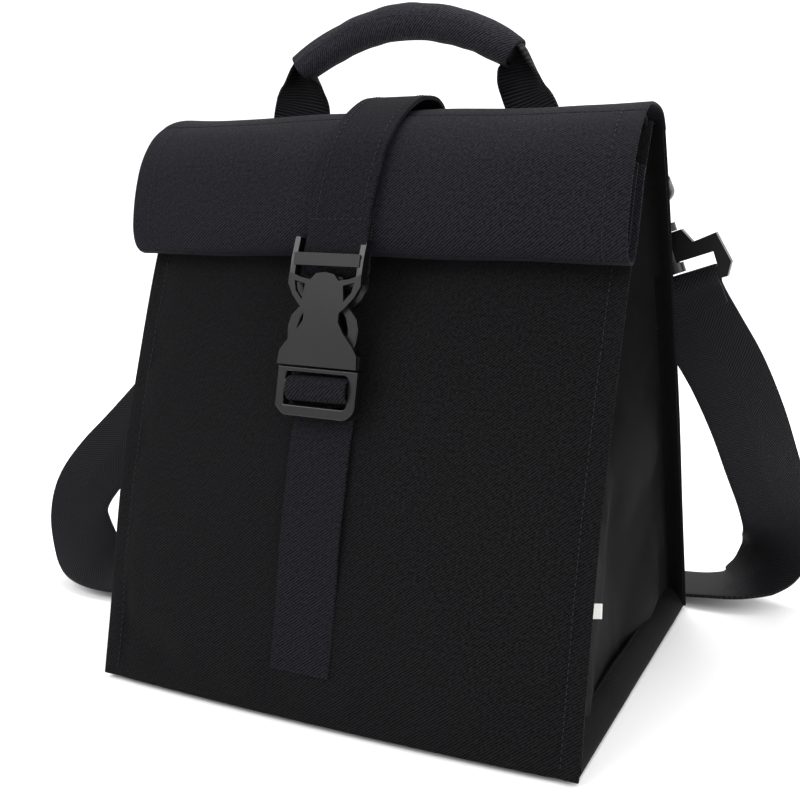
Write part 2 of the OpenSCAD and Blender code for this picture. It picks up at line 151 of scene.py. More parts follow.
def twill(name, dark, light, rib=1.1, angle=52, roughness=0.8, sheen=0.01, relief=0.7, gloss=0.05):
    material, tree, shader = new_material(name)
    cloth = add_node(tree, "ShaderNodeTexCoord").outputs["UV"]
    turned = add_node(tree, "ShaderNodeMapping", {"Rotation": (0, 0, math.radians(angle))}, {"Vector": cloth})
    ribs = add_node(tree, "ShaderNodeTexWave", {"Scale": 0.314 / (rib * MM), "Distortion": 0.6, "Detail": 1.0,
                                                "Detail Scale": 1.6}, {"Vector": turned.outputs[0]})
    threads = add_node(tree, "ShaderNodeTexWave", {"Scale": 0.314 / (rib * 0.62 * MM), "Distortion": 0.8,
                                                   "bands_direction": "Y"}, {"Vector": turned.outputs[0]})
    woven = add_node(tree, "ShaderNodeMath", {"operation": "MULTIPLY"},
                     {0: ribs.outputs["Fac"], 1: threads.outputs["Fac"]})
    slubs = add_node(tree, "ShaderNodeTexNoise", {"Scale": 700.0, "Detail": 2.0}, {"Vector": cloth})
    wear = add_node(tree, "ShaderNodeTexNoise", {"Scale": 14.0, "Detail": 4.0}, {"Vector": cloth})
    blend = add_node(tree, "ShaderNodeMath", {"operation": "MULTIPLY_ADD", 1: 0.55},
                     {0: ribs.outputs["Fac"], 2: slubs.outputs["Fac"]})
    share = add_node(tree, "ShaderNodeMapRange", {"From Min": 0.42, "From Max": 1.1},
                     {"Value": blend.outputs[0]})
    colour = add_node(tree, "ShaderNodeMix", {"data_type": "RGBA", 6: linear(dark), 7: linear(light)},
                      {0: share.outputs[0]})
    tree.links.new(colour.outputs[2], shader.inputs["Base Color"])
    rough = add_node(tree, "ShaderNodeMapRange", {"To Min": roughness - 0.07, "To Max": roughness + 0.08},
                     {"Value": wear.outputs["Fac"]})
    tree.links.new(rough.outputs[0], shader.inputs["Roughness"])
    bump = add_node(tree, "ShaderNodeBump", {"Strength": relief, "Distance": RIB_HEIGHT},
                    {"Height": woven.outputs[0]})
    tree.links.new(bump.outputs[0], shader.inputs["Normal"])
    set_shader(shader, {"Sheen Weight": sheen, "Sheen Roughness": 0.45, "Specular IOR Level": gloss})
    return material


panel_twill = twill("polyester_twill", "#010101", "#19191b")
roll_twill = twill("polyester_twill_roll", "#020203", "#222127", angle=-52, gloss=0.07)
grip_twill = twill("polyester_twill_grip", "#050506", "#302f36", angle=-52, gloss=0.08)
# The gusset's copy of the twill has darker threads than the panels' own: painted shade on the bag's sides,
# though the cloth is the same black. Its lower roughness and relief are the smoother coated cloth.
gusset_twill_painted_shade = twill("coated_twill_gusset_painted_shade", "#010101", "#060608", roughness=0.6, relief=0.3, gloss=0.05)
base_twill = twill("coated_twill_base", "#010101", "#08080a", roughness=0.6, gloss=0.05)
strap_twill = twill("polyester_twill_strap", "#030304", "#201f24", angle=-52)

# %% [markdown]
# Shoulder webbing is woven in a herringbone: two bands of ribs meet in a chevron at the centre line.
# The height of the relief is a sine of the distance along the strap plus the distance from its centre.
# Handle webbing has plain ribs across it.


# %% Webbing
def webbing(name, rib, chevron, dark="#010102", light="#1e1e21"):
    material, tree, shader = new_material(name)
    cloth = add_node(tree, "ShaderNodeTexCoord").outputs["UV"]
    parts = add_node(tree, "ShaderNodeSeparateXYZ", {}, {0: cloth})
    aside = add_node(tree, "ShaderNodeMath", {"operation": "ABSOLUTE"}, {0: parts.outputs[0]})
    along = add_node(tree, "ShaderNodeMath", {"operation": "MULTIPLY_ADD", 1: chevron},
                     {0: aside.outputs[0], 2: parts.outputs[1]})
    phase = add_node(tree, "ShaderNodeMath", {"operation": "MULTIPLY", 1: 2 * math.pi / (rib * MM)},
                     {0: along.outputs[0]})
    ribs = add_node(tree, "ShaderNodeMath", {"operation": "SINE"}, {0: phase.outputs[0]})
    fibres = add_node(tree, "ShaderNodeTexNoise", {"Scale": 900.0, "Detail": 2.0}, {"Vector": cloth})
    height = add_node(tree, "ShaderNodeMath", {"operation": "MULTIPLY_ADD", 1: 0.5},
                      {0: ribs.outputs[0], 2: fibres.outputs["Fac"]})
    share = add_node(tree, "ShaderNodeMapRange", {"From Min": -0.1, "From Max": 1.1},
                     {"Value": height.outputs[0]})
    colour = add_node(tree, "ShaderNodeMix", {"data_type": "RGBA", 6: linear(dark), 7: linear(light)},
                      {0: share.outputs[0]})
    tree.links.new(colour.outputs[2], shader.inputs["Base Color"])
    bump = add_node(tree, "ShaderNodeBump", {"Strength": 0.5, "Distance": RIB_HEIGHT},
                    {"Height": height.outputs[0]})
    tree.links.new(bump.outputs[0], shader.inputs["Normal"])
    set_shader(shader, {"Roughness": 0.6, "Sheen Weight": 0.01, "Specular IOR Level": 0.08})
    return material


herringbone = webbing("polyester_herringbone_webbing", 1.7, 1.0)
ribbed_webbing = webbing("polyester_ribbed_webbing", 1.5, 0.0)

# %% [markdown]
# The buckle and the hooks are moulded acetal or coated zinc. Moulded acetal carries the fine spark-eroded
# texture of its tool, about 0.2 mm across, with a soft gloss on top; its edges wear smooth and catch light.


# %% Moulded and coated parts
def moulded(name, colour, roughness, grain_mm=0.22, relief=0.18, metallic=0.0, coat=0.0):
    material, tree, shader = new_material(name)
    place = add_node(tree, "ShaderNodeTexCoord").outputs["Object"]
    grain = add_node(tree, "ShaderNodeTexNoise", {"Scale": 1 / (grain_mm * MM), "Detail": 2.0},
                     {"Vector": place})
    broad = add_node(tree, "ShaderNodeTexNoise", {"Scale": 60.0, "Detail": 3.0}, {"Vector": place})
    rough = add_node(tree, "ShaderNodeMapRange", {"To Min": roughness - 0.06, "To Max": roughness + 0.08},
                     {"Value": broad.outputs["Fac"]})
    worn = add_node(tree, "ShaderNodeMapRange", {"To Max": 0.25}, {"Value": broad.outputs["Fac"]})
    tint = add_node(tree, "ShaderNodeMix", {"data_type": "RGBA", 6: linear(colour), 7: linear("#101013")},
                    {0: worn.outputs[0]})
    tree.links.new(tint.outputs[2], shader.inputs["Base Color"])
    tree.links.new(rough.outputs[0], shader.inputs["Roughness"])
    bump = add_node(tree, "ShaderNodeBump", {"Strength": relief, "Distance": 0.0001},
                    {"Height": grain.outputs["Fac"]})
    tree.links.new(bump.outputs[0], shader.inputs["Normal"])
    set_shader(shader, {"Metallic": metallic, "Coat Weight": coat, "Coat Roughness": 0.3,
                        "Specular IOR Level": 0.22})
    return material


acetal = moulded("acetal_moulded", "#060607", 0.33, 0.3, 0.25, coat=0.35)
hook_acetal = moulded("acetal_moulded_hook", "#060607", 0.34)
black_zinc = moulded("zinc_die_cast_black", "#060607", 0.3, 0.4, 0.08, coat=0.3)
foam_white = moulded("polyethylene_foam", "#c9ccd0", 0.85, 0.8, 0.5)
core_foam = moulded("polyethylene_foam_rod", "#1b1b1e", 0.9, 0.8, 0.5)
film_grey = moulded("foil_coated_film", "#b9bdc2", 0.3, 3.0, 0.5, metallic=0.6)
board_black = moulded("polypropylene_board", "#2a2a2d", 0.6)
tape_black = moulded("hook_and_loop_nylon", "#0c0c0e", 0.9, 0.5, 1.0)
thread_black = moulded("polyester_thread", "#16161b", 0.7, 0.15, 0.3)
label_white = moulded("woven_polyester_ribbon", "#e8e8e4", 0.7, 0.3, 0.3)
print("materials:", len(bpy.data.materials))

# %% [markdown]
# Cloth pieces are slabs: a grid of points on the outer face, and the same grid moved inwards by the cloth's
# thickness. Building both faces in code keeps each piece closed, and a small bevel rounds its cut edges.
# The outlines use the same smooth line through the same points as the frame's own source.


# %% Curves and slabs
def smooth_line(points, steps):
    """A smooth line through the points, each stretch cut in steps."""
    p = [np.array(point, float) for point in points]
    out = []
    for i in range(len(p) - 1):
        a, b, c, d = p[max(i - 1, 0)], p[i], p[i + 1], p[min(i + 2, len(p) - 1)]
        for t in (k / steps for k in range(steps)):
            out.append(0.5 * (2 * b + (c - a) * t + (2 * a - 5 * b + 4 * c - d) * t * t
                              + (3 * b - a - 3 * c + d) * t ** 3))
    return np.array(out + [p[-1]])


def lengths(points):
    """How far along the line each point is."""
    steps = np.linalg.norm(np.diff(points, axis=0), axis=1)
    return np.concatenate([[0], np.cumsum(steps)])


def facing(grid, outward):
    """Unit normals of a grid of points, pointed towards outward."""
    n = np.cross(np.gradient(grid, axis=0), np.gradient(grid, axis=1))
    n /= np.linalg.norm(n, axis=2, keepdims=True) + 1e-12
    return n if (n.mean(axis=(0, 1)) @ np.array(outward)) >= 0 else -n


def settle(obj):
    """Applies the modifiers, so that the piece is a plain mesh."""
    graph = bpy.context.evaluated_depsgraph_get()
    mesh = bpy.data.meshes.new_from_object(obj.evaluated_get(graph), preserve_all_data_layers=True,
                                           depsgraph=graph)
    obj.modifiers.clear()
    obj.data = mesh
    return obj


def add_object(name, mesh, material):
    obj = bpy.data.objects.new(name, mesh)
    bpy.context.scene.collection.objects.link(obj)
    if material:
        mesh.materials.append(material)
    return obj


def slab(name, grid, thickness, material, outward=None, normals=None, u0=None, round_edge=0.4):
    """A closed piece of cloth from a grid of millimetre points on its outer face."""
    grid = np.array(grid, float)
    m, n = grid.shape[:2]
    normals = facing(grid, outward) if normals is None else normals
    inner = grid - normals * thickness
    corners = [[[i * n + j, i * n + j + 1, (i + 1) * n + j + 1, (i + 1) * n + j] for j in range(n - 1)]
               for i in range(m - 1)]
    faces = [f for row in corners for f in row]
    k = m * n
    faces += [[k + v for v in reversed(f)] for f in faces]
    rim = ([i for i in range(n)] + [i * n + n - 1 for i in range(1, m)]
           + [(m - 1) * n + j for j in range(n - 2, -1, -1)] + [i * n for i in range(m - 2, 0, -1)])
    faces += [[b, a, k + a, k + b] for a, b in zip(rim, rim[1:] + rim[:1])]
    mesh = bpy.data.meshes.new(name)
    mesh.from_pydata((np.concatenate([grid.reshape(-1, 3), inner.reshape(-1, 3)]) * MM).tolist(), [], faces)
    across = np.linalg.norm(np.diff(grid, axis=1), axis=2).mean(axis=0)
    down = np.linalg.norm(np.diff(grid, axis=0), axis=2).mean(axis=1)
    u = np.concatenate([[0], np.cumsum(across)])
    u = u - (u[-1] / 2 if u0 is None else u0)
    v = np.concatenate([[0], np.cumsum(down)])
    uv = np.stack(np.meshgrid(v, u, indexing="ij"), -1)[..., ::-1].reshape(-1, 2) * MM
    layer = mesh.uv_layers.new(name="cloth")
    index = np.zeros(len(mesh.loops), int)
    mesh.loops.foreach_get("vertex_index", index)
    layer.data.foreach_set("uv", uv[index % k].ravel())
    shell = bmesh.new()
    shell.from_mesh(mesh)
    if shell.calc_volume(signed=True) < 0:
        bmesh.ops.reverse_faces(shell, faces=shell.faces)
    shell.to_mesh(mesh)
    shell.free()
    obj = add_object(name, mesh, material)
    if round_edge:
        bevel = obj.modifiers.new("edge", "BEVEL")
        bevel.width = thickness * round_edge * MM
        bevel.segments = 2
        bevel.limit_method = "ANGLE"
        bevel.angle_limit = math.radians(50)
        settle(obj)
    obj.data.shade_smooth()
    return obj


def sample(grid, row, column):
    """A point part of the way between a grid's points."""
    i, j = min(int(row), grid.shape[0] - 2), min(int(column), grid.shape[1] - 2)
    a, b = row - i, column - j
    return ((1 - a) * (1 - b) * grid[i, j] + a * (1 - b) * grid[i + 1, j]
            + (1 - a) * b * grid[i, j + 1] + a * b * grid[i + 1, j + 1])


def wander(x, y, z, size, height):
    """Slow, even waves that stand for slack cloth."""
    return height * noise.noise(Vector((x, y, z)) / size)


# %% [markdown]
# The shoulder strap is a flat cord: 38 mm webbing about a metre long, clipped to both sides. Its route runs
# down from the right hook, along the floor behind the bag and up to the left hook. Each point of the route
# also says how far the strap's flat face has turned from facing forward to lying on the floor.

# %% Shoulder strap
STRAP_ROUTE = [
    (123.2, 46.8, 177.6, -1.2), (126, 50.2, 171, -1.1), (132.5, 56, 158, -0.7), (142, 66, 138, -0.3),
    (150.5, 80.5, 112, 0), (156, 97, 87, 0.03), (161, 115, 62, 0.12), (163, 129, 40, 0.3),
    (159, 134, 22, 0.55), (151, 129, 12, 0.8), (141, 122.5, 8, 0.95), (128, 120.5, 6, 1),
    (112, 121, 4.2, 1), (90, 121.5, 3.4, 1), (60, 122, 3.4, 1), (0, 122, 3.4, 1), (-60, 122, 3.4, 1),
    (-90, 122, 3.4, 1), (-118, 120, 3.4, 1), (-139, 107, 3.4, 1), (-151, 86, 3.4, 1),
    (-155, 60, 3.4, 1), (-153, 38, 3.4, 1), (-156, 17, 3.6, 1), (-166, 3, 3.6, 1), (-182, -4, 3.8, 1),
    (-199, -5, 5.5, 0.95), (-214, -2, 12, 0.7), (-226, 4, 22, 0.4), (-233, 9, 35, 0.15),
    (-232, 14, 49, 0), (-222, 20, 65, 0), (-206, 28, 83, 0), (-187, 35, 104, 0),
    (-165, 42.5, 129, 0), (-144.5, 47.5, 151, 0), (-128.5, 49.8, 169.5, 0), (-123.2, 46.8, 177.8, 0)]
STRAP_WIDTH = 38
STRAP_THICK = 1.8
STRAP_FACING = np.array([0.2, -0.96, 0.2]) / np.linalg.norm([0.2, -0.96, 0.2])
route = smooth_line(STRAP_ROUTE, 8)
heading = np.gradient(route[:, :3], axis=0)
heading /= np.linalg.norm(heading, axis=1, keepdims=True)
face_way = (1 - route[:, 3:]) * STRAP_FACING + route[:, 3:] * np.array([0, 0, 1.0])
across = np.cross(heading, face_way)
across /= np.linalg.norm(across, axis=1, keepdims=True)
for turn in range(10):
    across[1:-1] = (across[:-2] + 2 * across[1:-1] + across[2:]) / 4
    across -= heading * (across * heading).sum(axis=1, keepdims=True)
    across /= np.linalg.norm(across, axis=1, keepdims=True)
proud = np.cross(across, heading)
columns = np.linspace(-0.5, 0.5, 11)
strap_grid = (route[:, None, :3] + across[:, None] * (columns * STRAP_WIDTH)[None, :, None]
              + proud[:, None] * (STRAP_THICK / 2))
strap_grid[..., 2] = np.maximum(strap_grid[..., 2], STRAP_THICK + 0.3)
shoulder_strap = slab("shoulder_webbing", strap_grid, STRAP_THICK, herringbone,
                      normals=np.repeat(proud[:, None], len(columns), axis=1))

# Each end turns over the eye's low bar and is sewn down on the strap's front
EYE_AT, EYE_LEAN = (116.7, 44.5, 197.4), math.radians(18.7)
FOLD_LINE = [(2.1, -20.8), (3.5, -17), (3.7, -13.4), (2, -10.9), (-2, -10.9), (-3.7, -13.4), (-3.6, -17),
             (-1.9, -21), (-0.4, -26), (0.9, -30.5)]
for side, end in ((1, 0), (-1, -1)):
    x_way = np.array([math.cos(EYE_LEAN), 0, math.sin(EYE_LEAN) * side])
    z_way = np.array([-math.sin(EYE_LEAN) * side, 0, math.cos(EYE_LEAN)])
    strap_way = across[end] * np.sign(across[end][0])
    line = smooth_line(FOLD_LINE, 5)
    fold_start = np.array(EYE_AT) * (side, 1, 1) + z_way * line[0][1] + np.array([0, line[0][0], 0])
    offset = route[end][:3] - fold_start
    rows, normals = [], []
    for i, (y, z) in enumerate(line):
        share = min(1, max(0, (z + 21) / 9))
        width_way = share * x_way + (1 - share) * strap_way
        centre = np.array(EYE_AT) * (side, 1, 1) + z_way * z + np.array([0, y, 0]) + offset * (1 - share)
        slope = line[min(i + 1, len(line) - 1)] - line[max(i - 1, 0)]
        slope /= np.linalg.norm(slope)
        outward = np.array([0, 1, 0]) * -slope[1] + z_way * slope[0]
        rows.append([centre + width_way * u * STRAP_WIDTH + outward * (STRAP_THICK / 2) for u in columns])
        normals.append([outward] * len(columns))
    fold = slab("strap_fold_" + ("right" if side > 0 else "left"), rows, STRAP_THICK, herringbone,
                normals=np.array(normals))
    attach(fold, "bag")
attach(shoulder_strap, "bag")
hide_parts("shoulder_strap")

# %% [markdown]
# The body is a tent: the front and back panels lean in to a ridge and bow slightly on the way. The two
# panels are foam-backed, so they stay smooth, with long soft waves. That slackness comes from a cloth
# simulation: each panel is pinned round its seams, grown by a percent or so and left to settle. The foam
# holds the real cloth back, so how far a point may move is cut to a couple of millimetres.

# %% Shape of the body
WIDTH, DEPTH, NECK = 240, 196, 258
FLANGE, CLOTH, SEAM_INSET = 9, 1.3, 2.6
HALF, SIDE = WIDTH / 2, WIDTH / 2 - FLANGE


def front_y(z):
    s = z / NECK
    return -DEPTH / 2 + (DEPTH / 2 - 14) * s - 4 * 13.4 * s * (1 - s)


def back_y(z):
    s = z / NECK
    return DEPTH / 2 - (DEPTH / 2 - 9) * s + 4 * 4.85 * s * (1 - s)


def crease(z):
    return 4 + 46 * (z / NECK) ** 1.5


def grow_cloth(grid, pinned, growth, cap, stiffness=4.0):
    """Lets a grid of cloth grow and settle between its pinned points; no point moves by more than cap."""
    m, n = grid.shape[:2]
    mesh = bpy.data.meshes.new("cloth_trial")
    faces = [[i * n + j, i * n + j + 1, (i + 1) * n + j + 1, (i + 1) * n + j]
             for i in range(m - 1) for j in range(n - 1)]
    mesh.from_pydata((grid.reshape(-1, 3) * MM).tolist(), [], faces)
    obj = add_object("cloth_trial", mesh, None)
    group = obj.vertex_groups.new(name="pinned")
    group.add([int(i) for i in np.flatnonzero(pinned.ravel())], 1.0, "REPLACE")
    cloth = obj.modifiers.new("cloth", "CLOTH")
    cloth.settings.vertex_group_mass = "pinned"
    cloth.settings.shrink_min = -growth
    cloth.settings.quality = 6
    cloth.settings.mass = 0.15
    cloth.settings.tension_stiffness = 20
    cloth.settings.compression_stiffness = 20
    cloth.settings.bending_stiffness = stiffness
    cloth.settings.effector_weights.gravity = 0
    cloth.point_cache.frame_start, cloth.point_cache.frame_end = 1, 20
    scene = bpy.context.scene
    for number in range(1, 21):
        scene.frame_set(number)
    result = settle(obj).data
    moved = np.array([v.co for v in result.vertices]).reshape(m, n, 3) / MM - grid
    scene.frame_set(1)
    bpy.data.objects.remove(obj)
    far = np.linalg.norm(moved, axis=2, keepdims=True)
    print("cloth moved", round(float(far.max()), 2), "mm at most, cut to", cap, "mm")
    return grid + moved * np.minimum(1, cap / np.maximum(far, 1e-9))


def edges_pinned(grid, rows=2, columns=3):
    pinned = np.zeros(grid.shape[:2], bool)
    pinned[:rows] = pinned[-rows:] = True
    pinned[:, :columns] = pinned[:, -columns:] = True
    return pinned


# %% Front and back panels
xs = np.concatenate([[-120, -116.5, -113], np.linspace(-110, 110, 45), [113, 116.5, 120]])
zs = np.linspace(0.4, NECK, 53)


def base_bulge(x, lean):
    """How far a panel's foot is pushed out by what it stands on; most in the middle of the front."""
    return 4 + 3 * (1 - (x / HALF) ** 2) if lean < 0 else 1 + 1.5 * (1 - (x / HALF) ** 2)


def wall_grid(outer_y, lean):
    """A panel's outer face: slightly crowned between its seams, with a shallow groove along each."""
    rows = []
    for z in zs:
        low = min(z / 25, 1, (NECK - z) / 40)
        row = []
        for x in xs:
            inside = max(0, 1 - (abs(x) / 112) ** 4)
            puff = 1.5 * inside * low + wander(x, z, lean * 50, 60, 0.9) * inside * low
            groove = 0.5 * math.exp(-((abs(x) - SIDE) / 2.0) ** 2)
            flare = 0.8 * max(0, abs(x) - 112) / 8 * math.sin(z / 17 + lean)
            foot = base_bulge(x, lean) * math.exp(-z / 35)
            row.append((x, outer_y(z) + lean * (puff - groove + foot) + flare * 0.5, z))
        rows.append(row)
    return np.array(rows)


walls = {}
for name, outer_y, lean, node, cap in (("front_wall", front_y, -1, "front_panel", 1.6),
                                       ("back_wall", back_y, 1, "back_panel", 2.5)):
    grid = wall_grid(outer_y, lean)
    grid = grow_cloth(grid, edges_pinned(grid), 0.012, cap)
    limit = np.array([outer_y(z) for z in zs])[:, None]
    clear_of_foam = limit - 0.4 * lean
    grid[..., 1] = (np.minimum if lean < 0 else np.maximum)(grid[..., 1], clear_of_foam)
    walls[name] = grid
    panel = slab(name, grid, CLOTH, panel_twill, outward=(0, lean, 0.2))
    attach(panel, "bag")
    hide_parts(node)

# %% [markdown]
# The gusset is one piece of thinner coated cloth each side, folded inwards down its middle so that the top
# can close flat. It is sewn to both panels in standing flanges, and at the floor its edge turns out over
# the base and is sewn down, which leaves a low flat flange along each side.


# %% Gussets
def gusset_grid(side):
    rows = []
    for z in np.concatenate([[1.9, 2.6, 4.2, 7, 11], np.linspace(16, NECK - 1, 44)]):
        f, b = front_y(z) + SEAM_INSET, back_y(z) - SEAM_INSET
        turned_out = max(0, 1 - (z - 1.9) / 8) ** 2
        row = [(side * (HALF - 0.8), f, z), (side * (HALF - 4.5), f, z)]
        for t in np.linspace(0, 1, 33):
            y = f + (b - f) * t
            fold = 1 - abs(2 * t - 1)
            depth = crease(z) * (fold - 0.35 * math.exp(-(fold - 1) ** 2 / 0.004) * 4 / crease(z))
            ruck = 3.4 * math.exp(-((t - 0.12 - 0.5 * z / 120) / 0.06) ** 2)
            ruck = ruck * min(1, z / 30) * max(0, 1 - z / 130)
            slack = 1.2 + wander(side * 40 + t * 60, y, z, 42, 1.6)
            x = SIDE - depth + (ruck + slack) * min(1, 3 * fold)
            x += turned_out * (HALF - 1.2 - x)
            row.append((side * x, y, z))
        row += [(side * (HALF - 4.5), b, z), (side * (HALF - 0.8), b, z)]
        rows.append(row)
    return np.array(rows)


gussets = {}
for side, word in ((-1, "left"), (1, "right")):
    grid = gusset_grid(side)
    grid = grow_cloth(grid, edges_pinned(grid, 4, 4), 0.01, 1.6, 2.0)
    fold = 1 - np.abs(2 * (grid[..., 1] - grid[:, :1, 1]) / (grid[:, -1:, 1] - grid[:, :1, 1]) - 1)
    clear_of_foam = SIDE + 0.2 - np.array([[crease(z)] for z in grid[:, 0, 2]]) * np.clip(fold, 0, 1)
    grid[..., 0] = side * np.maximum(side * grid[..., 0], clear_of_foam)
    gussets[word] = grid
    piece = slab("gusset_cloth_" + word, grid, 0.9, gusset_twill_painted_shade, outward=(side, 0, 0))
    for vertex in piece.data.vertices:
        vertex.co.z = max(vertex.co.z, 0.4 * MM)
    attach(piece, "bag")
    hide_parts("gusset_" + word)

# %% [markdown]
# The top is a collar as wide as the bag. Its back layer comes over the ridge, down the front as the face
# of the roll, round the bottom fold and up inside; its front layer lies within. Each layer is cut where a
# body ends, and its pieces share their edges, so the roll can open and its cloth bends across each joint.

# %% Rolled collar
BACK_OVER = [(11.2, 254.5), (10, 258.6), (7, 262.2), (0, 264), (-10, 264.4), (-20, 263.6), (-29.6, 260.8)]
BACK_FACE = [(-29.6, 260.8), (-40, 255), (-49, 244.5), (-55, 230), (-58, 216), (-57.5, 208), (-54.6, 203.2)]
BACK_LIP = [(-54.6, 203.2), (-50, 201.4), (-46.5, 202.2), (-43.5, 206.5), (-40, 217), (-36, 229), (-32, 240)]
FRONT_OVER = [(-14.6, 255.5), (-15.4, 258.9), (-21, 260.5), (-29, 257.5), (-36, 252.6)]
FRONT_FACE = [(-36, 252.6), (-44.5, 242), (-50.5, 228), (-53.5, 216), (-53.5, 210), (-51.6, 206.8)]
FRONT_LIP = [(-51.6, 206.8), (-49, 205.8), (-46.8, 207.4), (-45, 212), (-42.5, 221), (-39, 232), (-36, 241)]
collars = {}


def collar_piece(name, lines, index, width, thickness, outward, material=roll_twill):
    """One piece of a collar layer, cut from the layer's whole smooth line so that its neighbours fit."""
    joined = list(lines[0])
    for line in lines[1:]:
        joined += line[1:]
    steps = 7
    whole = smooth_line(joined, steps)
    first = sum(len(line) - 1 for line in lines[:index]) * steps
    last = first + (len(lines[index]) - 1) * steps
    away = np.gradient(whole, axis=0)
    away = np.stack([-away[:, 1], away[:, 0]], 1) / np.linalg.norm(away, axis=1, keepdims=True)
    if away[len(away) // 2] @ np.array(outward) < 0:
        away = -away
    run = lengths(whole)
    ridge = run[3 * steps]
    ends = np.linspace(-width / 2, width / 2, 61)
    rows, normals = [], []
    for i in range(first, last + 1):
        slack = min(1, i / 9)
        row = []
        for x in ends:
            tip = max(0, (abs(x) - 96) / 26)
            end_wave = 0.9 * tip ** 2 * math.sin(run[i] / 21 + 0.6)
            lift = thickness / 2 + slack * (wander(x, run[i] * 1.3, 7, 48, 1.1) + end_wave)
            y, z = whole[i] + away[i] * lift
            taper = 1 - 0.026 * math.exp(-((run[i] - ridge) / 26) ** 2)
            row.append((x * taper, y, z + slack * 0.8 * math.cos(x / 60)))
        rows.append(row)
        normals.append([(0, away[i][0], away[i][1])] * len(ends))
    grid = np.array(rows)
    collars[name] = (grid, np.array(normals))
    piece = slab(name, grid, thickness, material, normals=np.array(normals))
    return piece


back_layer, front_layer = [BACK_OVER, BACK_FACE, BACK_LIP], [FRONT_OVER, FRONT_FACE, FRONT_LIP]
over_ridge = collar_piece("collar_over_ridge", back_layer, 0, 244, 1.3, (-0.5, 0.8))
roll_front = collar_piece("roll_front", back_layer, 1, 244, 1.3, (-0.5, 0.8))
back_lip = collar_piece("back_lip", back_layer, 2, 244, 1.3, (-0.5, 0.8))
front_over = collar_piece("front_layer_over", front_layer, 0, 240, 1.0, (-0.5, 0.8))
front_down = collar_piece("front_layer_face", front_layer, 1, 240, 1.0, (-0.5, 0.8))
front_lip = collar_piece("front_layer_lip", front_layer, 2, 240, 1.0, (-0.5, 0.8))
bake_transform(over_ridge)
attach(roll_front, "roll")
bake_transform(back_lip)
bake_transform(front_over)
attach(front_down, "mouth_front")
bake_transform(front_lip)
for piece, node in ((over_ridge, "collar_back"), (roll_front, "roll_face"), (back_lip, "lip_back"),
                    (front_over, "collar_front"), (front_down, "front_face"), (front_lip, "lip_front")):
    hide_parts(node)

# %% [markdown]
# The closure strap is a folded strip of the bag's own twill, 30 mm wide, sewn along both edges. It leaves
# the back panel, arches clear of the ridge, follows the roll down and turns round the buckle's bar; the
# turned end is sewn down again above the buckle. The lower strap is sewn to the front under the buckle,
# turns round the male half's crossbar and hangs down as the free tail.

# %% Straps
STRAP_X = -8
OVER_LINE = [(19.6, 239), (15, 250), (12, 258), (8, 265.6), (1, 270.4), (-8, 271.7), (-18, 270.7),
             (-29, 266.8), (-40, 260.2), (-49.5, 251), (-56, 239), (-60.6, 226), (-62.6, 214), (-63.6, 205),
             (-64.4, 198), (-62.4, 194.6), (-59.8, 197), (-59.9, 205), (-59.4, 214), (-58.3, 223)]
TAIL_LINE = [(-86.2, 75), (-80, 100), (-74.6, 118), (-71.6, 129), (-70.9, 138), (-70.9, 146), (-72.5, 149.6),
             (-76, 150.2), (-79.8, 149.6), (-81.5, 146.5), (-81.6, 143.6), (-80.2, 141.2), (-77.5, 140.5),
             (-74.4, 138.4), (-73.8, 133), (-75.6, 127), (-79.2, 117), (-84, 100), (-89.5, 80), (-95.5, 50),
             (-101, 27), (-102, 22)]


def ribbon_grid(line, width, thickness, outward, x_of, wave=0.3, columns=13):
    """The outer face of a flat strap whose middle follows a line in the Y-Z plane."""
    away = np.gradient(line, axis=0)
    away = np.stack([-away[:, 1], away[:, 0]], 1) / np.linalg.norm(away, axis=1, keepdims=True)
    away = away if away[0] @ np.array(outward) > 0 else -away
    run = lengths(line)
    rows = [[(x_of(line[i]) + x, *(line[i] + away[i] * (thickness / 2 + wander(x, run[i], 3, 26, wave))))
             for x in np.linspace(-width / 2, width / 2, columns)] for i in range(len(line))]
    normals = [[(0, *away[i])] * columns for i in range(len(line))]
    return np.array(rows), np.array(normals)


def over_x(point):
    """The strap leans a little: its crest lies further right than its end at the buckle."""
    return STRAP_X + 2 + 7 * min(1, max(0, (point[1] - 200) / 68))


over_grid, over_normals = ribbon_grid(smooth_line(OVER_LINE, 5), 30, 1.9, (0.9, 0.4), over_x)
closure = slab("closure_webbing", over_grid, 1.9, strap_twill, normals=over_normals)
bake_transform(closure)
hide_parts("closure_strap")
tail_grid, tail_normals = ribbon_grid(smooth_line(TAIL_LINE, 5), 30, 1.5, (-0.9, 0.3), lambda point: STRAP_X)
tail = slab("lower_strap_and_tail", tail_grid, 1.4, strap_twill, normals=tail_normals)
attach(tail, "bag")
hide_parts("lower_strap")


# %% [markdown]
# The hard parts keep the frame's shapes. A moulded or die-cast edge is never sharp, so each is a merged copy
# of its CAD node with a small rounding, wide enough to catch a line of light.


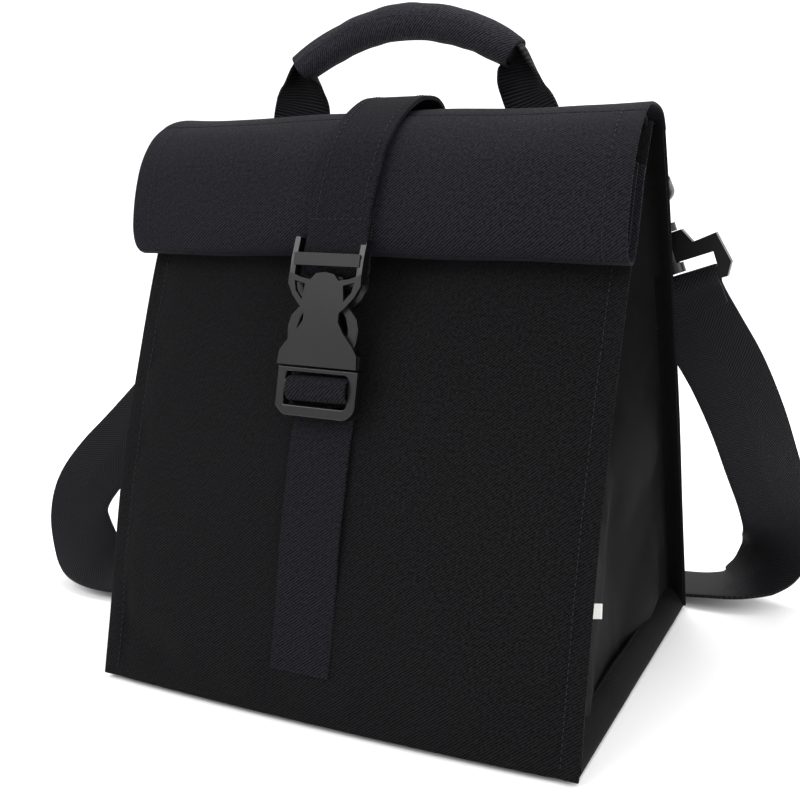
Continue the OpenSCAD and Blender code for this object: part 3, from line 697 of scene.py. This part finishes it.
# %% Rounded copies of the hard parts
def rounded(node, name, width, material, corner=0, through=(0, 1, 0), segments=3, angle=35):
    """A copy of a CAD node: its outline's corners rounded by corner, then every edge by width millimetres."""
    obj = add_object(name, nodes[node].data.copy(), None)
    shell = bmesh.new()
    shell.from_mesh(obj.data)
    bmesh.ops.remove_doubles(shell, verts=shell.verts, dist=0.00002)
    bmesh.ops.dissolve_limit(shell, angle_limit=math.radians(0.3), verts=shell.verts, edges=shell.edges)
    if corner:
        way = Vector(through).normalized()
        upright = [e for e in shell.edges if abs((e.verts[1].co - e.verts[0].co).normalized() @ way) > 0.999
                   and len(e.link_faces) == 2 and e.calc_face_angle(0) > 0.3
                   and all(len(v.link_edges) == 3 for v in e.verts)]
        bmesh.ops.bevel(shell, geom=upright, offset=corner * MM, segments=4, profile=0.5, affect="EDGES",
                        clamp_overlap=True)
    shell.to_mesh(obj.data)
    shell.free()
    obj.data.materials.clear()
    obj.data.materials.append(material)
    bevel = obj.modifiers.new("edge", "BEVEL")
    bevel.width = width * MM
    bevel.segments = segments
    bevel.limit_method = "ANGLE"
    bevel.angle_limit = math.radians(angle)
    obj.modifiers.new("flat_faces", "WEIGHTED_NORMAL").keep_sharp = True
    obj.data.shade_smooth()
    settle(obj)
    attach(obj, nodes[node]["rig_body"])
    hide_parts(node)
    return obj


BUCKLE_FRONT = (0, math.cos(math.radians(13)), -math.sin(math.radians(13)))
rounded("buckle_female", "buckle_socket", 0.5, acetal, 1.6, BUCKLE_FRONT)
rounded("buckle_male", "buckle_frame", 0.8, acetal, 2.2, BUCKLE_FRONT)
for side in ("left", "right"):
    rounded("buckle_arm_" + side, "buckle_prong_" + side, 0.7, acetal)
    rounded("eye_" + side, "webbing_eye_" + side, 0.8, hook_acetal, 2.6)
    rounded("hook_" + side, "snap_hook_" + side, 0.7, black_zinc)
    rounded("gate_" + side, "hook_gate_" + side, 0.4, black_zinc)
rounded("strap_slider", "slider_frame", 0.8, hook_acetal)

CAD_FINISHES = ((foam_white, ("foam_front", "foam_back", "foam_bottom", "foam_left", "foam_right")),
                (core_foam, ("handle_core",)), (film_grey, ("liner",)), (board_black, ("base_board",)),
                (tape_black, ("hook_tape", "loop_tape")), (black_zinc, ("ring_left", "ring_right")))
for finish, names in CAD_FINISHES:
    for name in names:
        nodes[name].data.materials.clear()
        nodes[name].data.materials.append(finish)

# %% [markdown]
# The carry handle is 30 mm webbing folded into a tube of twill round a foam rod. The sleeve's long seam
# shows as a row of stitches along its front, and its ends stay open where the webbing comes out.

# %% Handle
HANDLE_X, HANDLE_Y, GRIP_R, CROWN = -9.5, 14.2, 102, 309
GRIP_ANGLE = math.asin(58 / GRIP_R)
rows = []
for t in np.linspace(-1, 1, 61):
    a = t * GRIP_ANGLE
    droop = min(1, max(0, -1.5 * t))
    centre = np.array([HANDLE_X + GRIP_R * math.sin(a) + 2.2 * droop, HANDLE_Y,
                       CROWN - GRIP_R + GRIP_R * math.cos(a) - 1.4 * droop])
    outward = np.array([math.sin(a), 0, math.cos(a)])
    end = abs(t) ** 8
    row = []
    for q in np.linspace(0, 2 * math.pi, 33):
        pinch = 1 - 0.16 * end * abs(math.cos(q))
        r = (8.6 - 0.7 * droop) * pinch + wander(t * 60, 9 * math.cos(q), 9 * math.sin(q), 9, 0.5)
        row.append(centre + outward * r * math.cos(q) + np.array([0, -1, 0]) * r * 0.98 * math.sin(q))
    rows.append(row)
grip_grid = np.array(rows)
grip_grid[:, -1] = grip_grid[:, 0]
grip_normals = np.array([[(p - np.mean(row[:-1], axis=0)) / np.linalg.norm(p - np.mean(row[:-1], axis=0))
                          for p in row] for row in grip_grid])
grip = slab("grip_sleeve", grip_grid, 1.2, grip_twill, normals=grip_normals)
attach(grip, "handle")
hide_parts("handle_grip")

# %% [markdown]
# Each end of the handle is one length of webbing: sewn flat to the back panel, up past the ridge, and then
# rolled round the foam rod before it goes into the sleeve. Its edges curl forward by as much as the width
# that is missing, so the cloth keeps its real width all the way, and it twists with its outer edge forward.

# %% Handle webbing
LEG_W, LEG_T = 30, 1.5
GRIP_END_Z = CROWN - GRIP_R + GRIP_R * math.cos(GRIP_ANGLE)
LEG_LINE = [(63, back_y(204) + 3.2, 204), (63, back_y(215) + 3.2, 215), (63, back_y(230) + 3, 230),
            (63.2, back_y(242) + 2.4, 242), (63.8, 15.8, 249), (64, 17, 256), (63.3, 18.5, 264),
            (60.6, 18, 273), (59, 16.2, 281), (57.4, 14.6, GRIP_END_Z - 1.4), (52, 14.2, GRIP_END_Z + 4.2)]
LEG_CURL = [0, 0, 0, 0, 0, 0, 0.3, 1.2, 2.4, 4.1, 4.9]
LEG_TWIST = [0, 0, 0, 0, 0.12, 0.3, 0.41, 0.38, 0.25, 0.1, 0]
leg_grids = {}
for side, word in ((-1, "left"), (1, "right")):
    line = smooth_line([(*point, curl, twist)
                        for point, curl, twist in zip(LEG_LINE, LEG_CURL, LEG_TWIST)], 6)
    rows, normals = [], []
    for i, (x, y, z, curl, twist) in enumerate(line):
        way = line[min(i + 1, len(line) - 1), :3] - line[max(i - 1, 0), :3]
        way /= np.linalg.norm(way)
        aside = np.cross([0, 1, 0], way)
        aside /= np.linalg.norm(aside)
        out = np.cross(way, aside)
        aside, out = (aside * math.cos(twist) - out * math.sin(twist),
                      out * math.cos(twist) + aside * math.sin(twist))
        curl = max(curl, 0.02)
        radius = LEG_W / curl
        row, normal = [], []
        for u in np.linspace(-0.5, 0.5, 17):
            normal.append(aside * math.sin(curl * u) + out * math.cos(curl * u))
            shift = min(radius, 5.2) * min(1, curl / 3)
            row.append(np.array([x, y, z]) + aside * (radius * math.sin(curl * u))
                       + out * (radius * (math.cos(curl * u) - 1) + shift + LEG_T / 2))
        lean_over = 3 * min(1, max(0, (GRIP_END_Z - 3 - z) / 25))
        droop = min(1, max(0, (z - 276) / 12)) if side < 0 else 0
        rows.append([p * (side, 1, 1) + (HANDLE_X + lean_over + 2.2 * droop, 0, -1.4 * droop) for p in row])
        normals.append([n * (side, 1, 1) for n in normal])
    leg_grids[word] = (np.array(rows), np.array(normals))
    leg = slab("handle_webbing_" + word, rows, LEG_T, ribbed_webbing, normals=np.array(normals))
    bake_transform(leg)
    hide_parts("handle_anchor_" + word, "handle_webbing")

# %% [markdown]
# Small cloth pieces close the list: the base, the welts where the gussets meet it, the patch that holds the
# closure strap, the loops that hold the rings and the woven care label in the right seam.

# %% Base, welts, patch, loops and label
base_rows = []
for t in np.linspace(0, 1, 21):
    row = []
    for x in np.linspace(-HALF + 1, HALF - 1, 41):
        front, back = -DEPTH / 2 - base_bulge(x, -1) + 1.2, DEPTH / 2 + base_bulge(x, 1) - 1.2
        unevenness = abs(noise.noise(Vector((x, t * 190, 0)) / 50))
        row.append((x, front + (back - front) * t, 0.1 + 0.5 * unevenness))
    base_rows.append(row)
base = slab("base_cloth", base_rows, 1.0, base_twill, outward=(0, 0, -1))
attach(base, "bag")
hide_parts("bottom_panel")

WELT = [(109.2, 12.5), (111.2, 12.2), (114, 10.4), (116.8, 7.2), (118.8, 3.6), (119.2, 0.9)]
welt_grids = {}
for side, word in ((-1, "left"), (1, "right")):
    section = smooth_line(WELT, 3)
    rows = []
    for x, z in section:
        front, back = front_y(z) + SEAM_INSET, back_y(z) - SEAM_INSET
        rows.append([(side * (x + wander(t * 190, z, side * 30, 30, 0.5)), front + (back - front) * t,
                      z + wander(t * 190, side * 20, 5, 34, 0.7) * z / 12.5)
                     for t in np.linspace(0, 1, 61)])
    welt_grids[word] = np.array(rows)
    welt = slab("base_welt_" + word, rows, 1.1, base_twill, outward=(side, 0, 0.6))
    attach(welt, "bag")

patch_line = smooth_line([(back_y(z) + 2.8, z) for z in (190, 202, 214, 226, 236, 240.5)], 4)
patch_grid, patch_normals = ribbon_grid(patch_line, 30, 1.5, (1, 0.3), lambda point: STRAP_X + 4)
patch = slab("strap_anchor_patch", patch_grid, 1.5, strap_twill, normals=patch_normals)
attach(patch, "bag")
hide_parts("strap_anchor")

RING_X = 103.6
TAB_LINE = [(13.4, 251), (15.8, 246.5), (20.6, 241), (25.6, 236.4), (27.2, 233.4), (26.3, 231.1), (24, 230.2),
            (21.7, 231.1), (20.8, 233.4), (19.6, 237.5), (17.6, 241.2), (15.6, 244.8)]
for side, word in ((-1, "left"), (1, "right")):
    tab_grid, tab_normals = ribbon_grid(smooth_line(TAB_LINE, 5), 20, 1.2, (1, 0.5),
                                        lambda point: side * RING_X, 0.1)
    tab = slab("ring_loop_" + word, tab_grid, 1.2, ribbed_webbing, normals=tab_normals)
    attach(tab, "bag")
    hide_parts("ring_tab_" + word)

label_rows = [[(SIDE + 2.8 + 7.2 * t, front_y(64) + 6 + 4 * t + 0.5 * math.sin(3 * t), z) for t in
               np.linspace(0, 1, 9)] for z in np.linspace(60.4, 67, 7)]
label = slab("care_label_ribbon", label_rows, 0.4, label_white, outward=(0, -1, 0))
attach(label, "bag")
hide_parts("care_label")

# %% [markdown]
# Stitches repeat along seams, so Geometry Nodes make them: a seam is a line of edges, cut into points one
# stitch pitch apart, with a short rounded thread on each, turned along the seam. A lockstitch on such cloth
# is about 2.6 mm; its thread is 0.5 mm and is drawn 0.6 mm thick so that it shows.


# %% Stitching
def stitch_tree():
    tree = bpy.data.node_groups.new("stitch_row", "GeometryNodeTree")
    for name, kind, value in (("Geometry", "NodeSocketGeometry", None),
                              ("Stitch pitch", "NodeSocketFloat", 0.0029),
                              ("Stitch length", "NodeSocketFloat", 0.0021),
                              ("Thread thickness", "NodeSocketFloat", 0.0006)):
        socket = tree.interface.new_socket(name, in_out="INPUT", socket_type=kind)
        if value:
            socket.default_value = value
    tree.interface.new_socket("Geometry", in_out="OUTPUT", socket_type="NodeSocketGeometry")
    inputs = add_node(tree, "NodeGroupInput").outputs
    seam = add_node(tree, "GeometryNodeMeshToCurve", {}, {0: inputs["Geometry"]})
    cut = add_node(tree, "GeometryNodeResampleCurve", {"mode": "LENGTH"},
                   {"Curve": seam.outputs[0], "Length": inputs["Stitch pitch"]})
    tangent = add_node(tree, "GeometryNodeInputTangent")
    turn = add_node(tree, "FunctionNodeAlignRotationToVector", {"axis": "Z"}, {"Vector": tangent.outputs[0]})
    thread = add_node(tree, "GeometryNodeMeshUVSphere", {"Segments": 6, "Rings": 5, "Radius": 0.5})
    size = add_node(tree, "ShaderNodeCombineXYZ", {},
                    {0: inputs["Thread thickness"], 1: inputs["Thread thickness"], 2: inputs["Stitch length"]})
    placed = add_node(tree, "GeometryNodeInstanceOnPoints", {},
                      {"Points": cut.outputs[0], "Instance": thread.outputs[0], "Rotation": turn.outputs[0],
                       "Scale": size.outputs[0]})
    real = add_node(tree, "GeometryNodeRealizeInstances", {}, {0: placed.outputs[0]})
    dyed = add_node(tree, "GeometryNodeSetMaterial", {"Material": thread_black},
                    {"Geometry": real.outputs[0]})
    add_node(tree, "NodeGroupOutput", {}, {0: dyed.outputs[0]})
    return tree


STITCHES = stitch_tree()


def seam_on(grid, normals, path, lift=0.12):
    """Points along a path given in grid rows and columns, just proud of the cloth."""
    return [sample(grid, r, c) + sample(normals, r, c) * lift for r, c in path]


def straight(start, end, count=40):
    return [(start[0] + (end[0] - start[0]) * t, start[1] + (end[1] - start[1]) * t)
            for t in np.linspace(0, 1, count)]


def stitch(name, seams, slot_name="outer_fabric", **sizes):
    """Sews rows of stitches along the seams and returns them as one plain mesh."""
    verts, edges = [], []
    for seam in seams:
        edges += [(len(verts) + i, len(verts) + i + 1) for i in range(len(seam) - 1)]
        verts += [tuple(np.array(p) * MM) for p in seam]
    mesh = bpy.data.meshes.new(name)
    mesh.from_pydata(verts, edges, [])
    obj = add_object(name, mesh, thread_black)
    modifier = obj.modifiers.new("stitches", "NODES")
    modifier.node_group = STITCHES
    for item in STITCHES.interface.items_tree:
        if item.in_out == "INPUT" and item.name in sizes:
            modifier[item.identifier] = sizes[item.name]
    settle(obj)
    obj.data.shade_smooth()
    print(name, len(obj.data.polygons), "faces")
    return obj


def column_at(x):
    """Which column of a wall's grid lies at x."""
    return float(np.interp(x, xs, range(len(xs))))


wall_seams = []
for name, lean in (("front_wall", -1), ("back_wall", 1)):
    grid = walls[name]
    n = facing(grid, (0, lean, 0.2))
    for x in (-SIDE - 1, SIDE + 1):
        wall_seams.append(seam_on(grid, n, straight((1, column_at(x)), (len(zs) - 2, column_at(x)), 90)))
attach(stitch("side_stitches", wall_seams), "bag")

roll_grid, roll_normals = collars["roll_front"]
roll_columns = roll_grid.shape[1] - 1
hem = 10 / 244 * roll_columns
roll_rows = roll_grid.shape[0] - 1
roll_seams = [seam_on(roll_grid, roll_normals, straight((0, c), (roll_rows, c), 50))
              for c in (hem, roll_columns - hem)]
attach(stitch("roll_stitches", roll_seams), "roll")
over_rows = over_grid.shape[0] - 1


def row_at_height(line_grid, z, last_row):
    """The first row of a strap, counted from its start, that is down to a height."""
    heights = line_grid[:, line_grid.shape[1] // 2, 2]
    top = int(np.argmax(heights))
    return next((i for i in range(top, last_row) if heights[i] <= z), last_row)


tack = row_at_height(over_grid, 220, over_rows)
strap_seams = [seam_on(over_grid, over_normals, straight((0, c), (tack, c), 110)) for c in (1.5, 10.5)]
strap_seams.append(seam_on(over_grid, over_normals, straight((tack, 0.7), (tack, 11.3), 12)))
over_stitches = stitch("closure_stitches", strap_seams)
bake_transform(over_stitches)
tail_rows = tail_grid.shape[0] - 1
hem_row = row_at_height(tail_grid, 30, tail_rows)
tail_start = row_at_height(tail_grid, 136, tail_rows)
tail_seams = [seam_on(tail_grid, tail_normals, straight((tail_start, c), (tail_rows, c), 90))
              for c in (1.5, 10.5)]
tail_seams.append(seam_on(tail_grid, tail_normals, straight((hem_row, 0.7), (hem_row, 11.3), 12)))
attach(stitch("tail_stitches", tail_seams), "bag")
seam_q = 33 * 0.2
grip_seam = seam_on(grip_grid, grip_normals, straight((1, seam_q), (59, seam_q), 80))
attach(stitch("grip_stitches", [grip_seam]), "handle")

box_seams = []
for word in ("left", "right"):
    grid, n = leg_grids[word]
    low, high = 2, 17
    box_seams += [seam_on(grid, n, straight((a, b), (c, d), 14)) for a, b, c, d in (
        (low, 2, high, 2), (low, 14, high, 14), (low, 2, low, 14), (high, 2, high, 14), (low, 2, high, 14))]
last_row = patch_grid.shape[0] - 2
box_seams += [seam_on(patch_grid, patch_normals, straight((a, b), (c, d), 20)) for a, b, c, d in (
    (1, 1.5, last_row, 1.5), (1, 10.5, last_row, 10.5), (1, 1.5, 1, 10.5), (1, 1.5, 8, 10.5),
    (8, 1.5, 1, 10.5))]
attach(stitch("anchor_stitches", box_seams), "bag")
welt_seams = []
for side, word in ((-1, "left"), (1, "right")):
    grid = welt_grids[word]
    welt_seams.append(seam_on(grid, facing(grid, (side, 0, 0.6)), straight((2.2, 1), (2.2, 59), 80)))
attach(stitch("welt_stitches", welt_seams, "base_fabric"), "bag")

# %% [markdown]
# A plain pale floor that runs up into the backdrop, one big soft key light from the upper left front, a
# weaker one from the right and a strip from behind, as in a product studio.


# %% Floor and light
def backdrop():
    profile = smooth_line([(-3, 0), (0.6, 0), (1.2, 0.03), (1.7, 0.35), (2.0, 1.2), (2.1, 3)], 10)
    verts = [(x, y, z) for y, z in profile for x in (-4, 4)]
    faces = [[2 * i, 2 * i + 1, 2 * i + 3, 2 * i + 2] for i in range(len(profile) - 1)]
    mesh = bpy.data.meshes.new("backdrop")
    mesh.from_pydata(verts, [], faces)
    material, tree, shader = new_material("paper_backdrop")
    fibres = add_node(tree, "ShaderNodeTexNoise", {"Scale": 300.0},
                      {"Vector": add_node(tree, "ShaderNodeTexCoord").outputs["Object"]})
    bump = add_node(tree, "ShaderNodeBump", {"Strength": 0.03, "Distance": 0.0002},
                    {"Height": fibres.outputs["Fac"]})
    tree.links.new(bump.outputs[0], shader.inputs["Normal"])
    set_shader(shader, {"Base Color": linear("#f7f7f7"), "Roughness": 0.85, "Specular IOR Level": 0.2})
    obj = add_object("backdrop", mesh, material)
    obj.data.shade_smooth()
    return obj


floor = backdrop()


def softbox(name, place, target, size, power):
    data = bpy.data.lights.new(name, "AREA")
    data.shape = "RECTANGLE"
    data.size, data.size_y = size
    data.energy = power
    obj = bpy.data.objects.new(name, data)
    bpy.context.scene.collection.objects.link(obj)
    obj.location = place
    obj.rotation_mode = "QUATERNION"
    obj.rotation_quaternion = (Vector(target) - Vector(place)).to_track_quat("-Z", "Y")
    return obj


softbox("key", (-0.9, -1.3, 1.5), (0, 0, 0.12), (1.2, 1.2), 24)
softbox("fill", (1.5, -0.5, 0.9), (0, 0, 0.15), (0.9, 1.2), 10)
softbox("top", (0.1, 0.5, 1.7), (0, 0, 0.1), (1.4, 0.8), 22)
world = bpy.data.worlds.new("studio")
bpy.context.scene.world = world
world.use_nodes = True
world.node_tree.nodes["Background"].inputs["Color"].default_value = linear("#ffffff")
world.node_tree.nodes["Background"].inputs["Strength"].default_value = 1.0
bpy.context.scene.view_settings.view_transform = "Standard"
